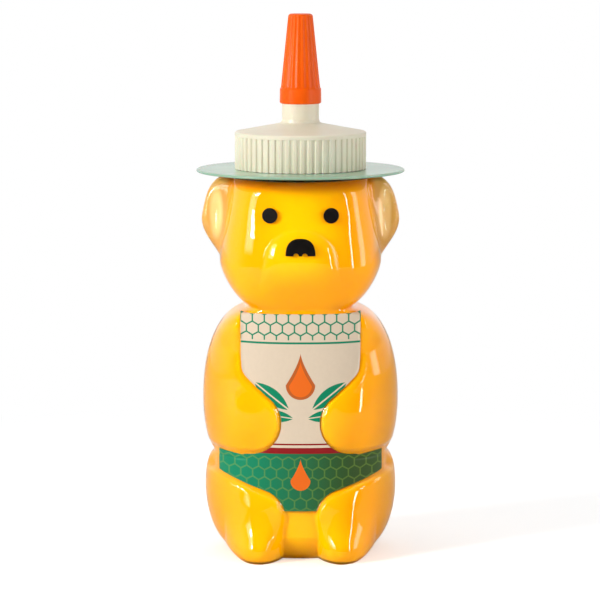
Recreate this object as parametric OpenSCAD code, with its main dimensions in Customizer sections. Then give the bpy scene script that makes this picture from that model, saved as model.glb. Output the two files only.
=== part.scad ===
// Honey bear bottle: a clear bear-shaped bottle with its honey, a paper label,
// printed eyes and nose, a hat brim held under a ribbed screw cap with a spout,
// and a pull-off tip cap. Millimetres, +Z up, the bear faces -Y.
// The origin is the middle of the resting face's level, on the neck's axis.

/* [Bear heights] */
// Height of the head's flat top, where the neck starts
shoulder_z = 116.3; // [113:0.1:122]
// Height of the cheeks, the widest part of the head
cheek_z = 89.5; // [87:0.1:92]
// Height of the crease under the chin
neck_z = 76.4; // [73:0.1:79]
// Height of the widest part of the chest and arms
chest_z = 47; // [44:0.1:50]
// Height of the waist crease
waist_z = 31; // [29:0.1:33]
// Height of the widest part of the hips
hip_z = 20.5; // [19:0.1:22]

/* [Bear widths] */
// Width over the cheeks
cheek_w = 49; // [46:0.1:52]
// Width of the head at its top
crown_w = 41.8; // [41:0.1:46]
// Width at the crease under the chin
neck_w = 30.8; // [29:0.1:36]
// Width over the arms at the chest
chest_w = 59.6; // [56:0.1:64]
// Width at the waist crease
waist_w = 52.2; // [50:0.1:54]
// Width over the hips
hip_w = 58.4; // [55:0.1:62]
// Width of the resting face
base_w = 36; // [34:0.1:44]

/* [Bear depths, front and back of the neck's axis] */
// Front of the head at the cheeks
cheek_front = 25; // [24:0.1:27]
// Back of the head at the cheeks
cheek_back = 22.8; // [21:0.1:25]
// Front of the head at its top
crown_front = 22; // [20.6:0.1:23.5]
// Back of the head at its top
crown_back = 21.2; // [20.6:0.1:23]
// Front of the crease under the chin
neck_front = 22; // [20:0.1:23]
// Back of the crease at the nape
neck_back = 16.5; // [15:0.1:19]
// Front of the chest and arms
chest_front = 23.7; // [23:0.1:25.5]
// Back of the chest
chest_back = 24; // [22:0.1:26]
// Front of the waist
waist_front = 22.6; // [22:0.1:23.4]
// Back of the waist
waist_back = 21.3; // [19:0.1:23]
// Front of the hips
hip_front = 24; // [23:0.1:26]
// Back of the hips
hip_back = 23.4; // [21:0.1:25]
// Front of the resting face, between the feet
base_front = 16.5; // [15:0.1:18]
// Back of the resting face
base_back = 16; // [14.5:0.1:18]
// Front of the upright label panel
panel_front = 22.3; // [21.6:0.1:22.6]

/* [Arms and legs] */
// Middle of the paw, from the centre line
paw_x = 15.2; // [14:0.1:17]
// Middle of the paw, above the waist crease
paw_rise = 11.3; // [10.5:0.1:13]
// Elbow, out from the paw
elbow_out = 11.3; // [9:0.1:13]
// Elbow, above the paw
elbow_up = 9.7; // [7:0.1:12]
// Radius of the forearm and paw
arm_r = 8.5; // [7.5:0.1:9]
// Inner edge of the upper arm, from the centre line
arm_inner_x = 18.9; // [17.5:0.1:20]
// Lower edge of the arm, above the waist crease
arm_rise = 2.9; // [2:0.1:4]
// Middle of the knee, from the centre line
knee_x = 13; // [12:0.1:14.5]
// Middle of the knee, below the widest part of the hips
knee_drop = 6.9; // [5.5:0.1:8]
// Hip end of the thigh, out from the knee
thigh_out = 14.5; // [12:0.1:16]
// Hip end of the thigh, above the knee
thigh_up = 5.2; // [3.5:0.1:6.5]
// Radius of the thigh
thigh_r = 7.3; // [6.5:0.1:8]
// Half width of the shin
shin_r = 6.5; // [5.8:0.1:7.2]
// Front of the toes
toe_front = 27.6; // [26:0.1:29]
// Height of the foot block that reaches forward
foot_h = 16; // [12:0.5:19]
// Half width of the step beside the limbs
limb_edge = 0.8; // [0.6:0.1:1.4]
// How far the round tail stands out
tail_out = 2.6; // [1.5:0.1:3.5]

/* [Face and ears] */
// How far each ear stands out from the head
ear_out = 7.3; // [6:0.1:9]
// Height of the ear above its widest level
ear_up = 12; // [10.5:0.1:13]
// Height of the ear below its widest level
ear_down = 13.4; // [11:0.1:15]
// Half thickness of the ear, front to back
ear_half_t = 8.7; // [7.5:0.1:10]
// Depth of the hollow in the ear's front
ear_dish = 1.7; // [1:0.1:2.2]
// Middle of the muzzle, above the cheeks
muzzle_rise = 2.3; // [1:0.1:4]
// Half width of the muzzle
muzzle_half_w = 10.9; // [9:0.1:12.5]
// Height of the muzzle above its middle
muzzle_up = 9.4; // [8:0.1:11]
// How far the muzzle stands out
muzzle_out = 2.8; // [2:0.1:3.6]
// Distance of each eye from the centre line
eye_x = 9.1; // [8:0.1:10.5]
// Height of the eyes above the cheeks
eye_rise = 15.4; // [12.5:0.1:16.5]
// Diameter of each eye
eye_d = 4.6; // [3.6:0.1:5.4]
// Middle of the nose, above the cheeks
nose_rise = 6.4; // [5:0.1:7.5]
// Width of the nose
nose_w = 8.8; // [7.5:0.1:10]
// Height of the nose
nose_h = 5; // [4.5:0.1:6]

/* [Walls] */
// Wall of the bottle's body, measured towards the axis
wall = 0.9; // [0.7:0.05:1.2]
// Thickness of the bottle's floor
floor_t = 1.8; // [1.6:0.1:2.4]
// Thickness of the head's flat top
top_t = 1.4; // [1.3:0.1:2]
// Radius of the hollow under the floor
push_up_r = 10; // [7:0.5:12]
// Depth of the hollow under the floor
push_up_h = 0.7; // [0.4:0.1:0.9]

/* [Neck finish] */
// Wall of the neck
neck_wall = 1.1; // [0.8:0.05:1.5]
// Radius of the neck between the threads
root_r = 17.6; // [17.4:0.05:18]
// Height of the thread over the neck
thread_h = 1.05; // [0.7:0.05:1.1]
// Height of the neck above the head's top
finish_h = 10.2; // [9.8:0.1:11]
// Rise of the thread in one turn
pitch = 4.2333; // [3.8:0.0001:4.6]
// Turns of thread on the neck
neck_turns = 1.25; // [1:0.05:1.3]

/* [Hat brim] */
// Radius of the brim
brim_r = 31.6; // [28:0.1:34]
// Thickness of the brim
brim_t = 0.8; // [0.6:0.1:1]
// Gap between the brim's hole and the threads
brim_gap = 0.3; // [0.2:0.05:0.5]
// Width of the flat seat under the brim, outside its hole
seat_land = 1.25; // [1:0.05:1.6]

/* [Screw cap] */
// Wall of the cap, over its ribs
cap_wall = 1; // [0.9:0.05:1.4]
// Height of the cap's ribbed wall
cap_h = 11.2; // [11:0.1:12]
// Number of ribs round the cap
ribs = 56; // [40:1:72]
// Depth of the grooves between the ribs
rib_depth = 0.4; // [0.2:0.05:0.5]
// Height of the plain band over the ribs
band_h = 1.3; // [0.8:0.1:2]
// Rise of the cap's cone from its edge to the spout
dome_rise = 2.6; // [1.5:0.1:3.5]
// Gap between the threads and the walls they face
thread_gap = 0.25; // [0.15:0.05:0.3]
// Gap between the brim and the closed cap
seat_gap = 0.1; // [0.05:0.05:0.2]
// Turns of thread inside the cap
cap_turns = 1; // [0.8:0.05:1.1]

/* [Spout] */
// Radius of the spout's foot
spout_r = 5.6; // [5.2:0.1:6]
// Height of the spout's foot above the cone
spout_foot_h = 5.9; // [5:0.1:7]
// Radius of the nozzle where the tip cap's sleeve starts
nozzle_r = 4.7; // [4.5:0.1:4.9]
// Radius of the nozzle's tip
nozzle_tip_r = 2.3; // [2.1:0.1:2.5]
// Height of the nozzle above the spout's foot
nozzle_h = 22.5; // [20:0.1:24]
// Wall of the spout
spout_wall = 1.1; // [1:0.05:1.2]
// Radius of the hole in the nozzle's tip
orifice_r = 1.1; // [0.9:0.05:1.2]

/* [Tip cap] */
// Height of the tip cap
tip_h = 27; // [26.5:0.1:29]
// Radius of the tip cap's collar
collar_r = 6.3; // [6.1:0.1:6.6]
// Height of the collar
collar_h = 4.4; // [3:0.1:6]
// Radius of the tip cap's top
tip_top_r = 3.8; // [3.6:0.1:4.4]
// Gap between the tip cap and the nozzle
tip_gap = 0.2; // [0.1:0.05:0.3]
// Length of the tip cap's plug in the orifice
plug_l = 2.5; // [1.5:0.1:3]
// Gap between the plug and the orifice
plug_gap = 0.1; // [0.05:0.05:0.2]

/* [Liner, label and prints] */
// Thickness of the cap's foam liner
liner_t = 0.8; // [0.6:0.1:1]
// Radius of the liner's hole
liner_hole_r = 12; // [10:0.1:13]
// Thickness of the label
label_t = 0.15; // [0.1:0.05:0.3]
// Half width of the label at the waist
label_side = 24.6; // [22:0.1:25]
// Height of the label's lower edge
label_low = 15.7; // [14.5:0.1:18]
// Distance of the label's top below the chin crease
label_top_drop = 1; // [0.8:0.1:3]
// Thickness of the printed eyes and nose
print_t = 0.15; // [0.1:0.05:0.3]
// Gap between a thin skin and the wall under it
skin_gap = 0.02; // [0.01:0.01:0.05]

/* [Honey] */
// Level of the honey
honey_z = 113.6; // [100:0.1:114]
// Gap between the honey and the wall
honey_gap = 0.1; // [0.05:0.05:0.3]

/* [Hidden] */

// Half width, front depth and back depth at each level
base = [base_w / 2, base_front, base_back];
hip = [hip_w / 2, hip_front, hip_back];
waist = [waist_w / 2, waist_front, waist_back];
chest = [chest_w / 2, chest_front, chest_back];
neck = [neck_w / 2, neck_front, neck_back];
cheek = [cheek_w / 2, cheek_front, cheek_back];
crown = [crown_w / 2, crown_front, crown_back];
bore_r = root_r - neck_wall;
thread_r = root_r + thread_h;
brim_hole_r = thread_r + brim_gap;
seat_r = brim_hole_r + seat_land;       // the head's round flat top, which carries the brim
edge_h = 5;             // height of the rounded edge under the flat top

// Grid of the bear's skin: columns are closer on the front, rows at the ends
front_cols = 36;
back_cols = 18;
cols = front_cols + back_cols;
foot_rows = 7;
foot_zone = 6;
leg_rows = 9;
body_rows = 16;
head_rows = 13;
top_rows = 5;

function smooth(a, b, x) =
    let (t = min(max((x - a) / (b - a), 0), 1)) t * t * (3 - 2 * t);

// A soft start that keeps the ends of 0 to 1
function ease(t, soft) =
    (sqrt(t * t + soft * soft) - soft) / (sqrt(1 + soft * soft) - soft);

// A quarter of a superellipse, upright at 0 and level at 1
function quarter(t, p, soft) =
    let (u = ease(min(max(t, 0), 1), soft)) pow(1 - pow(1 - u, p), 1 / p);

function hump(d2, p) = pow(max(1 - d2, 0), p);
function mound(x, z, x0, z0, rx, rz) =
    exp(-pow((x - x0) / rx, 2) - pow((z - z0) / rz, 2));
function soft_max(a, b, k) = (a + b + sqrt((a - b) * (a - b) + k * k)) / 2;

// Half size k of the trunk at height z, in arcs from crease to bulge
function half_size(z, k) =
    z < hip_z ? base[k] + (hip[k] - base[k]) * quarter(z / hip_z, 2, 0)
    : z < waist_z ? waist[k] + (hip[k] - waist[k])
        * quarter((waist_z - z) / (waist_z - hip_z), 2.1, 0.06)
    : z < chest_z ? waist[k] + (chest[k] - waist[k])
        * quarter((z - waist_z) / (chest_z - waist_z), 1.9, 0.05)
    : z < neck_z ? neck[k] + (chest[k] - neck[k])
        * quarter((neck_z - z) / (neck_z - chest_z), 2.2, 0.03)
    : z < cheek_z ? neck[k] + (cheek[k] - neck[k])
        * quarter((z - neck_z) / (cheek_z - neck_z), 1.45, 0.05)
    : let (side = cheek[k] + (crown[k] - cheek[k]) * smooth(cheek_z, shoulder_z, z),
           t = max((z - shoulder_z) / edge_h + 1, 0))
        seat_r + (side - seat_r) * sqrt(max(1 - t * t, 0));

// Distance from the axis to a superellipse, a angle from the front
function oval(a, w, d, n) =
    pow(pow(abs(sin(a)) / w, n) + pow(abs(cos(a)) / d, n), -1 / n);

// Distance into a round-ended bar, positive inside, seen from the front
function bar(x, z, p, q, r) =
    let (d = q - p, t = min(max(([x, z] - p) * d / (d * d), 0), 1))
    r - norm([x, z] - p - t * d);

paw = [paw_x, waist_z + paw_rise];
elbow = paw + [elbow_out, elbow_up];
arm_low = waist_z + arm_rise;
knee = [knee_x, hip_z - knee_drop];
thigh_end = knee + [thigh_out, thigh_up];
heel = [knee_x, -8];
shank_top = knee[1] + 3.4;

function in_arm(x, z) =
    soft_max(bar(x, z, paw, elbow, arm_r), min(x - arm_inner_x, z - arm_low), 1.5);
function in_leg(x, z) =
    max(soft_max(bar(x, z, knee, thigh_end, thigh_r), bar(x, z, knee, heel, shin_r), 1),
        min(x - knee_x, shank_top - z));

// Limbs stand proud of the upright panel that carries the label
function with_limbs(a, z, r) =
    let (front = smooth(0, 7, r * cos(a)), x0 = abs(r * sin(a)),
         torso = smooth(neck_z + 0.3, neck_z - 1, z),
         raised = r + front * (0.9 * mound(x0, z, paw[0], paw[1], 7, 7)
                             + 2 * mound(x0, z, knee[0], knee[1], 6.5, 6.5)),
         x = abs(raised * sin(a)),
         panel = oval(a, waist[0] + 0.4, panel_front, 2.3)
             - 2.6 * pow(smooth(9, 0, z), 2),
         let_in = smooth(limb_edge, -limb_edge, max(in_arm(x, z), in_leg(x, z)))
             * front * torso)
    raised + (min(panel, raised) - raised) * let_in;

muzzle_z = cheek_z + muzzle_rise;
eye_z = cheek_z + eye_rise;
nose_z = cheek_z + nose_rise;
ear_z = shoulder_z - ear_up - 0.7;
ear_angle = 94;         // the ears sit a little behind the sides
ear_arc = 0.4;          // arc length in mm for a degree at the head's side

function with_face(a, z, r) =
    let (x = r * sin(a), face = smooth(4, 12, r * cos(a)),
         below = max(muzzle_z - z, 0), above = max(z - muzzle_z, 0),
         half = muzzle_half_w + 0.2 * below,
         snout = hump(pow(x / half, 2) + pow(above / muzzle_up, 2), 0.8)
             * pow(cos(90 * min(below / 15, 1)), 2),
         socket = mound(abs(x), z, eye_x, eye_z - 0.3, 4.2, 4.5))
    r + face * (muzzle_out * snout - 0.5 * socket);

function ear_lift(a, z) =
    let (u = (abs(a) - ear_angle) * ear_arc,
         thin = pow(max(1 - pow(u / (ear_half_t + 0.8), 2), 0.02), 0.3),
         w = (z - ear_z) / thin,
         height = w > 0 ? sqrt(hump(pow(min(w / ear_up, 1), 3.4), 1))
             : pow(cos(90 * min(-w / ear_down, 1)), 1.25))
    ear_out * height * smooth(-0.92 * ear_half_t, -2.2, u) * smooth(ear_half_t + 0.8, 2, u);

function with_back(a, z, r) =
    let (y = -r * cos(a), x = abs(r * sin(a)), back = smooth(2, 9, y),
         torso = smooth(waist_z + 0.5, waist_z + 5, z) * smooth(neck_z - 0.4, neck_z - 6, z),
         arm = soft_max(min(x - 17.5, z - arm_low - 0.6),
                        bar(x, z, [20.5, chest_z - 3], [24, chest_z + 13], 6), 2),
         tail = hump(pow(x / 7, 2) + pow((z - hip_z + 5.5) / 7, 2), 0.9))
    r - 1.3 * back * torso * smooth(1.2, -1.2, arm) + tail_out * back * tail;

function squareness(a, z) =
    2.2 + 0.45 * smooth(neck_z, neck_z + 10, z)
        - 0.65 * smooth(shoulder_z - 6, shoulder_z, z)
        + (abs(a) < 90 ? 1.9 * exp(-pow((z - neck_z) / 7, 2)) : 0);

function radius(a, z) =
    let (trunk = oval(a, half_size(z, 0), half_size(z, abs(a) < 90 ? 1 : 2),
                      squareness(a, z)),
         faced = with_face(a, z, with_limbs(a, z, trunk)))
    with_back(a, z, faced + ear_lift(a, z));

// The toes reach forward near the floor, with a rounded lower edge
function toe_reach(x, y, z) =
    let (ax = abs(x), t = min(max(z / 2.6, 0), 1), side = ax - 12.4,
         edge = 1.8 * (1 - sqrt(max(1 - (1 - t) * (1 - t), 0))),
         front = toe_front - 0.07 * pow(ax - 12, 2) - edge,
         share = smooth(foot_h, 4, z) * smooth(0, 12, -y)
             * hump(pow(side / (side > 0 ? 10.5 : 6.8), 2), 0.55))
    max(front + y, 0) * share;

function ear_hollow(a, x, z) =
    let (u = (abs(a) - ear_angle) * ear_arc)
    ear_dish * mound(abs(x), z, crown[0] + 4.7, ear_z + 0.9, 2.4, 7)
        * smooth(2, -1, u) * smooth(-9, -5, u);

// A point of the bear's outer skin
function skin_point(a, z) =
    let (r = radius(a, z), x = r * sin(a), y = -r * cos(a) + ear_hollow(a, x, z))
    [x, y - toe_reach(x, y, z), z];

// The inner wall is drawn in towards the axis, and its ends are lifted off the floor and top
floor_zone = 12;
top_zone = 8;
function inner_z(z) =
    z + floor_t * pow(max(1 - z / floor_zone, 0), 2)
      - top_t * pow(max((z - shoulder_z) / top_zone + 1, 0), 2);
function offset_point(p, by, z) =
    let (rho = norm([p[0], p[1]])) [p[0] * (rho + by) / rho, p[1] * (rho + by) / rho, z];

angles = concat([for (i = [0:front_cols - 1]) -90 + 180 * i / front_cols],
                [for (i = [0:back_cols - 1]) 90 + 180 * i / back_cols]);
levels = concat(
    [for (i = [0:foot_rows - 1]) foot_zone * (1 - cos(90 * i / foot_rows))],
    [for (i = [0:leg_rows - 1]) foot_zone + (waist_z - foot_zone) * i / leg_rows],
    [for (i = [0:body_rows - 1]) waist_z + (neck_z - waist_z) * i / body_rows],
    [for (i = [0:head_rows - 1])
        neck_z + (shoulder_z - edge_h - neck_z) * i / head_rows],
    [for (i = [0:top_rows]) shoulder_z - edge_h * (1 - sin(90 * i / top_rows))]);
rows = len(levels) - 1;
signed = [for (a = angles) a > 180 ? a - 360 : a];
skin = [for (z = levels) [for (a = signed) skin_point(a, z)]];

// Triangles between two rings of the same number of points
function band(a, b, n) = [for (j = [0:n - 1]) let (k = (j + 1) % n)
    each [[a + j, b + j, b + k], [a + j, b + k, a + k]]];
// The same with the other diagonal, for rings that run down the inside of a wall
function band_down(a, b, n) = [for (j = [0:n - 1]) let (k = (j + 1) % n)
    each [[a + j, b + j, a + k], [a + k, b + j, b + k]]];
function fan(ring, centre, n) =
    [for (j = [0:n - 1]) [centre, ring + j, ring + (j + 1) % n]];
function fan_back(ring, centre, n) =
    [for (j = [0:n - 1]) [centre, ring + (j + 1) % n, ring + j]];
function circle_ring(r, z) = [for (a = signed) [r * sin(a), -r * cos(a), z]];

flange_over = 0.3;      // how far the neck's flange laps the head's top, above and below
flange_r = brim_hole_r - 0.2;
neck_hole_r = flange_r - 0.45;

// The bear's shell: outer skin, flat top, hole for the neck and inner wall, as one closed surface
module bear_shell() {
    inner = [for (i = [rows - 1:-1:0])
        [for (p = skin[i]) offset_point(p, -wall, inner_z(levels[i]))]];
    rings = concat([circle_ring(push_up_r - push_up_h, push_up_h), circle_ring(push_up_r, 0)],
                   skin, [circle_ring(neck_hole_r, shoulder_z),
                          circle_ring(neck_hole_r, shoulder_z - top_t)], inner);
    last = len(rings) - 1;
    points = concat([for (ring = rings) each ring], [[0, 0, push_up_h], [0, 0, floor_t]]);
    outside = len(skin) + 3;
    faces = concat([for (i = [0:outside - 1]) each band(i * cols, (i + 1) * cols, cols)],
                   [for (i = [outside:last - 1]) each band_down(i * cols, (i + 1) * cols, cols)],
                   fan(0, len(points) - 2, cols),
                   fan_back(last * cols, len(points) - 1, cols));
    polyhedron(points = points, faces = faces, convexity = 10);
}

// A helical ridge whose height grows from nothing at both ends
thread_steps = 36;
foot_half = 1;          // half width of a thread at its root
crest_half = 0.5;       // half width of a thread at its crest
module thread(root, crest, start, from, turns) {
    n = round(thread_steps * turns);
    fade = 3;
    inward = crest < root;
    rings = [for (i = [0:n]) let (
        a = from + 360 * turns * i / n,
        z = start + pitch * (a / 360),
        t = min(i, n - i, fade) / fade,
        rc = root + (crest - root) * (0.2 + 0.8 * t))
        [for (q = [[root, -foot_half], [rc, -crest_half], [rc, crest_half], [root, foot_half]])
            [q[0] * cos(a), q[0] * sin(a), z + q[1]]]];
    sides = [for (i = [0:n - 1]) for (j = [0:3]) let (k = (j + 1) % 4, a = i * 4, b = a + 4)
        each [[a + j, a + k, b + k], [a + j, b + k, b + j]]];
    ends = [[0, 3, 2], [0, 2, 1], [n * 4, n * 4 + 1, n * 4 + 2], [n * 4, n * 4 + 2, n * 4 + 3]];
    faces = concat(sides, ends);
    polyhedron(points = [for (ring = rings) each ring],
               faces = inward ? [for (f = faces) [f[0], f[2], f[1]]] : faces, convexity = 4);
}

neck_top = shoulder_z + finish_h;
thread_start = shoulder_z + 2.7;
sunk = 0.3;             // how far a thread's root is sunk in the wall that carries it

module neck_finish() {
    low = shoulder_z - top_t - flange_over;
    high = shoulder_z + flange_over;
    rotate_extrude($fn = 96)
        polygon([[bore_r, low], [flange_r, low], [flange_r, high], [root_r, high + 0.4],
                 [root_r, neck_top - 0.3], [root_r - 0.3, neck_top], [bore_r, neck_top]]);
    thread(root_r - sunk, thread_r, thread_start, 0, neck_turns);
}

module bottle() {
    color([0.98, 0.86, 0.45, 0.45])
    union() {
        bear_shell();
        neck_finish();
    }
}

// The honey fills the bear up to the highest row of the wall under its level
module honey() {
    full = [for (i = [0:rows - 1]) if (inner_z(levels[i]) <= honey_z) i];
    rings = [for (i = full)
        [for (p = skin[i]) offset_point(p, -wall - honey_gap,
            i == 0 ? floor_t + honey_gap : inner_z(levels[i]))]];
    last = len(rings) - 1;
    points = concat([for (ring = rings) each ring],
                    [[0, 0, floor_t + honey_gap], [0, 0, rings[last][0][2]]]);
    color([1, 0.72, 0.02])
        polyhedron(points = points, convexity = 10,
                   faces = concat([for (i = [0:last - 1]) each band(i * cols, (i + 1) * cols, cols)],
                                  fan(0, len(points) - 2, cols),
                                  fan_back(last * cols, len(points) - 1, cols)));
}

// A thin sheet that follows the bear's front, for rows i0 to i1 and columns j0 to j1
module front_skin(i0, i1, j0, j1, t) {
    nj = j1 - j0 + 1;
    ni = i1 - i0 + 1;
    sheet = ni * nj;
    points = concat(
        [for (i = [i0:i1]) for (j = [j0:j1]) offset_point(skin[i][j], skin_gap, levels[i])],
        [for (i = [i0:i1]) for (j = [j0:j1]) offset_point(skin[i][j], skin_gap + t, levels[i])]);
    function at(i, j, s) = s * sheet + i * nj + j;
    inner = [for (i = [0:ni - 2]) for (j = [0:nj - 2])
        each [[at(i, j, 0), at(i + 1, j + 1, 0), at(i + 1, j, 0)],
              [at(i, j, 0), at(i, j + 1, 0), at(i + 1, j + 1, 0)]]];
    outer = [for (i = [0:ni - 2]) for (j = [0:nj - 2])
        each [[at(i, j, 1), at(i + 1, j, 1), at(i + 1, j + 1, 1)],
              [at(i, j, 1), at(i + 1, j + 1, 1), at(i, j + 1, 1)]]];
    rim = concat([for (j = [0:nj - 1]) [0, j]], [for (i = [1:ni - 1]) [i, nj - 1]],
                 [for (j = [nj - 2:-1:0]) [ni - 1, j]], [for (i = [ni - 2:-1:1]) [i, 0]]);
    n = len(rim);
    wall_faces = [for (m = [0:n - 1]) let (p = rim[m], q = rim[(m + 1) % n])
        each [[at(p[0], p[1], 0), at(p[0], p[1], 1), at(q[0], q[1], 1)],
              [at(p[0], p[1], 0), at(q[0], q[1], 1), at(q[0], q[1], 0)]]];
    polyhedron(points = points, faces = concat(inner, outer, wall_faces), convexity = 6);
}

// Row or column of the grid just outside a height or an angle
function row_under(z) = max([for (i = [0:rows]) if (levels[i] <= z) i]);
function row_over(z) = min([for (i = [0:rows]) if (levels[i] >= z) i]);
function col_at(a) = round((a + 90) * front_cols / 180);

// Cuts a thin front sheet to an outline that is drawn as seen from the front
module front_patch(z0, z1, half_angle, t) {
    intersection() {
        front_skin(row_under(z0), row_over(z1), col_at(-half_angle), col_at(half_angle), t);
        rotate([90, 0, 0]) linear_extrude(60) children();
    }
}

module bar_2d(p, q, r) {
    d = q - p;
    translate(p) circle(r = r, $fn = 64);
    translate(q) circle(r = r, $fn = 64);
    translate(p) rotate(atan2(d[1], d[0])) translate([0, -r]) square([norm(d), 2 * r]);
}

label_margin = limb_edge + 0.1;
label_top = neck_z - label_top_drop;
beyond = 60;            // longer than any size of the label

module limbs_2d() {
    bar_2d(paw, elbow, arm_r + label_margin);
    translate([arm_inner_x - label_margin, arm_low - label_margin]) square([beyond, beyond]);
    bar_2d(knee, thigh_end, thigh_r + label_margin);
    bar_2d(heel, knee, shin_r + label_margin);
    translate([knee[0], -beyond]) square([beyond, beyond + shank_top + label_margin]);
}

module front_label() {
    color([0.93, 0.87, 0.76])
    front_patch(label_low, label_top, 80, label_t)
        difference() {
            translate([-label_side, label_low]) square([2 * label_side, label_top - label_low]);
            limbs_2d();
            mirror([1, 0]) limbs_2d();
        }
}

module eye(side) {
    color([0.03, 0.03, 0.03])
    front_patch(eye_z - eye_d, eye_z + eye_d, 45, print_t)
        translate([side * eye_x, eye_z]) circle(d = eye_d, $fn = 48);
}
module left_eye() { eye(1); }
module right_eye() { eye(-1); }

nose_power = 2.5;       // 2 makes the nose's outline half an ellipse, and more a squarer one
notch_r = 0.8;          // radius of the two bites in the nose's lower edge
notch_x = 1.3;          // distance of each bite from the centre line
function nose_point(a) =
    [sign(cos(a)) * nose_w / 2 * pow(abs(cos(a)), 2 / nose_power),
     nose_h * pow(sin(a), 2 / nose_power)];
module nose() {
    low = nose_z - nose_h / 2;
    color([0.03, 0.03, 0.03])
    front_patch(low - 2, low + nose_h + 2, 30, print_t)
        translate([0, low])
            difference() {
                polygon([for (a = [0:5:180]) nose_point(a)]);
                for (s = [-1, 1]) translate([s * notch_x, 0]) circle(r = notch_r, $fn = 24);
            }
}

// The brim is a flat ring with a rounded rim, laid over the neck on the head's top
module brim() {
    round_r = brim_t / 2 - 0.05;
    color([0.45, 0.78, 0.6, 0.6])
    translate([0, 0, shoulder_z])
        rotate_extrude($fn = 128)
            union() {
                translate([brim_hole_r, 0])
                    square([brim_r - round_r - brim_hole_r, brim_t]);
                translate([brim_r - round_r, brim_t / 2]) circle(r = round_r, $fn = 24);
            }
}

cap_low = shoulder_z + brim_t + seat_gap;
cap_top = cap_low + cap_h;
roof_low = neck_top + liner_t;
cap_bore_r = thread_r + thread_gap;
cap_r = cap_bore_r + cap_wall;
cone_top = cap_top + dome_rise;
foot_top = cone_top + spout_foot_h;
nozzle_top = foot_top + nozzle_h;
spout_fillet = 1.2;

module cap_liner() {
    color([0.96, 0.96, 0.94])
    translate([0, 0, neck_top])
        difference() {
            cylinder(h = liner_t, r = root_r - 0.1, $fn = 96);
            translate([0, 0, -1]) cylinder(h = liner_t + 2, r = liner_hole_r, $fn = 96);
        }
}

lap = 0.2;              // how far the ribs run up into the plain band
band_out = 0.05;        // how far the plain band stands out over the ribs

// Ribbed wall: each rib and each groove takes an equal step round the cap
module ribbed_wall() {
    step = 360 / ribs;
    groove = cap_r - rib_depth;
    translate([0, 0, cap_low])
        linear_extrude(cap_h - band_h + lap)
            polygon([for (i = [0:ribs - 1]) for (q = [[0.08, 1], [0.42, 1], [0.58, 0], [0.92, 0]])
                let (a = step * (i + q[0]), r = groove + rib_depth * q[1])
                [r * cos(a), r * sin(a)]]);
}

module spout_channel() {
    rotate_extrude($fn = 64)
        polygon([[0, roof_low - 1], [liner_hole_r - 1, roof_low - 1], [liner_hole_r - 1, roof_low],
                 [spout_r - spout_wall, cone_top - 0.6], [spout_r - spout_wall, foot_top - 1.5],
                 [nozzle_r - spout_wall, foot_top], [orifice_r, nozzle_top - plug_l - 0.6],
                 [orifice_r, nozzle_top + 1], [0, nozzle_top + 1]]);
}

module screw_cap() {
    color([0.95, 0.91, 0.8])
    union() {
        difference() {
            union() {
                ribbed_wall();
                rotate_extrude($fn = 128)
                    polygon([[0, cap_top - band_h], [cap_r + band_out, cap_top - band_h],
                             [cap_r + band_out, cap_top - 0.3], [cap_r - 0.3, cap_top],
                             [spout_r + spout_fillet, cone_top - 0.2],
                             [spout_r + 0.3, cone_top + 0.2], [spout_r, cone_top + spout_fillet],
                             [spout_r, foot_top], [nozzle_r, foot_top],
                             [nozzle_tip_r, nozzle_top], [0, nozzle_top]]);
            }
            translate([0, 0, cap_low - 1])
                cylinder(h = roof_low - cap_low + 1, r = cap_bore_r, $fn = 96);
            spout_channel();
        }
        thread(cap_bore_r + sunk, root_r + thread_gap, thread_start - pitch / 2, 200, cap_turns);
    }
}

tip_top = foot_top + tip_h;
sleeve_r = nozzle_r + tip_gap;
module tip_cap() {
    top_round = 1;
    inner_top = nozzle_top + tip_gap;
    color([0.98, 0.38, 0.05])
    union() {
        difference() {
            rotate_extrude($fn = 96)
                polygon(concat(
                    [[0, foot_top], [collar_r - 0.3, foot_top], [collar_r, foot_top + 0.3],
                     [collar_r - 0.05, foot_top + collar_h], [collar_r - 0.25, foot_top + collar_h + 0.3]],
                    [for (a = [0:15:90]) [tip_top_r - top_round + top_round * cos(a),
                                          tip_top - top_round + top_round * sin(a)]],
                    [[0, tip_top]]));
            rotate_extrude($fn = 96)
                polygon([[0, foot_top - 1], [sleeve_r, foot_top - 1], [sleeve_r, foot_top],
                         [nozzle_tip_r + tip_gap, inner_top], [0, inner_top]]);
        }
        translate([0, 0, nozzle_top - plug_l])
            cylinder(h = tip_top - 1 - nozzle_top + plug_l, r = orifice_r - plug_gap, $fn = 32);
    }
}

bottle();
honey();
front_label();
left_eye();
right_eye();
nose();
brim();
cap_liner();
screw_cap();
tip_cap();
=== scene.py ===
import math
import bpy
import numpy as np
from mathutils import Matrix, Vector


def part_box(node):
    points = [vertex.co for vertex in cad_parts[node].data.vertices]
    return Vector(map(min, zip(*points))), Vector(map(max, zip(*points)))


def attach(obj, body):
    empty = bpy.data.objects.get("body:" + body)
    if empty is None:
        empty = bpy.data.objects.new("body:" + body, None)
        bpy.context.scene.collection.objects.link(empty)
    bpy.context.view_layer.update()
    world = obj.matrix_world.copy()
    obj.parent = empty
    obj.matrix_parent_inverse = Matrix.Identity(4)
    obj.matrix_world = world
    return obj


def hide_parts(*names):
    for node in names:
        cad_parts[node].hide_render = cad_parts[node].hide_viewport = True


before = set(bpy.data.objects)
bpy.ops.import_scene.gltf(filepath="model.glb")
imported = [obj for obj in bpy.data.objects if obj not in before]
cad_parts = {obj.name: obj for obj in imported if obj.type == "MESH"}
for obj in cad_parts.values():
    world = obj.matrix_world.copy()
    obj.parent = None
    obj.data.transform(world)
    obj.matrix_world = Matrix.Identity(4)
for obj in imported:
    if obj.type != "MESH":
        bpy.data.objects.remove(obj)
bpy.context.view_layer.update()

scene = bpy.context.scene
mm = 0.001

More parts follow.
